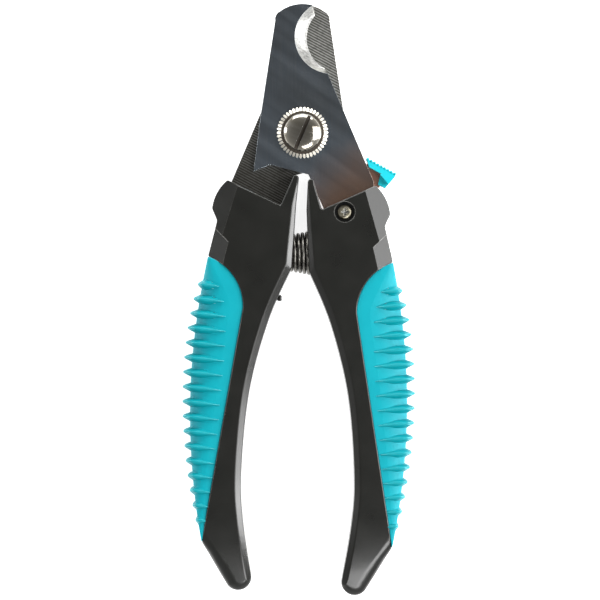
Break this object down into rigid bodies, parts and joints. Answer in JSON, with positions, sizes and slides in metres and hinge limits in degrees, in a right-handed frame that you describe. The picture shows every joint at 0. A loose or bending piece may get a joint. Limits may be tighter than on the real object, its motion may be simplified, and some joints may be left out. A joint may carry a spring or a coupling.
{
  "type": "scissor nail clipper",
  "caption": "Pet nail clipper with crossed notched steel blades on a pivot screw, spring-parted handles with ribbed grips, and a thumb latch.",
  "frame": {"origin": "centre of the footprint, on the plane that the rear faces of the handles lie on", "axes": "+Y towards the blade tip along the clipper's length, +Z out of the front face, +X towards the handle with the latch"},
  "size_m": [0.0636, 0.1602, 0.015],
  "materials": {
    "blade_steel": "polished blade steel, fine grind lines",
    "polished_chrome": "polished nickel or chrome plate",
    "zinc_steel": "dull zinc plate",
    "spring_steel": "oil-dark spring wire",
    "dark_handle": "glossy gunmetal black",
    "teal_rubber": "satin teal rubber",
    "teal_plastic": "satin teal plastic",
    "black_bush": "matt black nylon"
  },
  "bodies": {
    "right_side": {"front_blade": "blade_steel", "pivot_screw": "polished_chrome", "pivot_collar": "polished_chrome", "pivot_washer": "zinc_steel", "pivot_nut": "zinc_steel", "right_front_shell": "dark_handle", "right_rear_shell": "dark_handle", "right_grip": "teal_rubber", "right_shell_screws": "zinc_steel", "handle_spring": "spring_steel", "latch_screw": "polished_chrome", "latch_bush": "black_bush", "latch_washer": "spring_steel"},
    "left_side": {"rear_blade": "blade_steel", "left_front_shell": "dark_handle", "left_rear_shell": "dark_handle", "left_grip": "teal_rubber", "left_shell_screws": "zinc_steel"},
    "latch": {"latch_plate": "blade_steel", "latch_thumb_pad": "teal_plastic"}
  },
  "joints": [
    {"name": "handle_pivot", "type": "hinge", "parent": "right_side", "child": "left_side", "pos_m": [0.00103, 0.04517, 0.0075], "axis": [0, 0, -1], "range_deg": [0, 17], "deforming": ["handle_spring"]},
    {"name": "latch_swing", "type": "hinge", "parent": "right_side", "child": "latch", "pos_m": [0.01243, 0.02367, 0.00625], "axis": [0, 0, -1], "range_deg": [0, 26]}
  ],
  "couplings": [
    {"joint": "latch_swing", "follows": "handle_pivot", "ratio": 1.5}
  ]
}
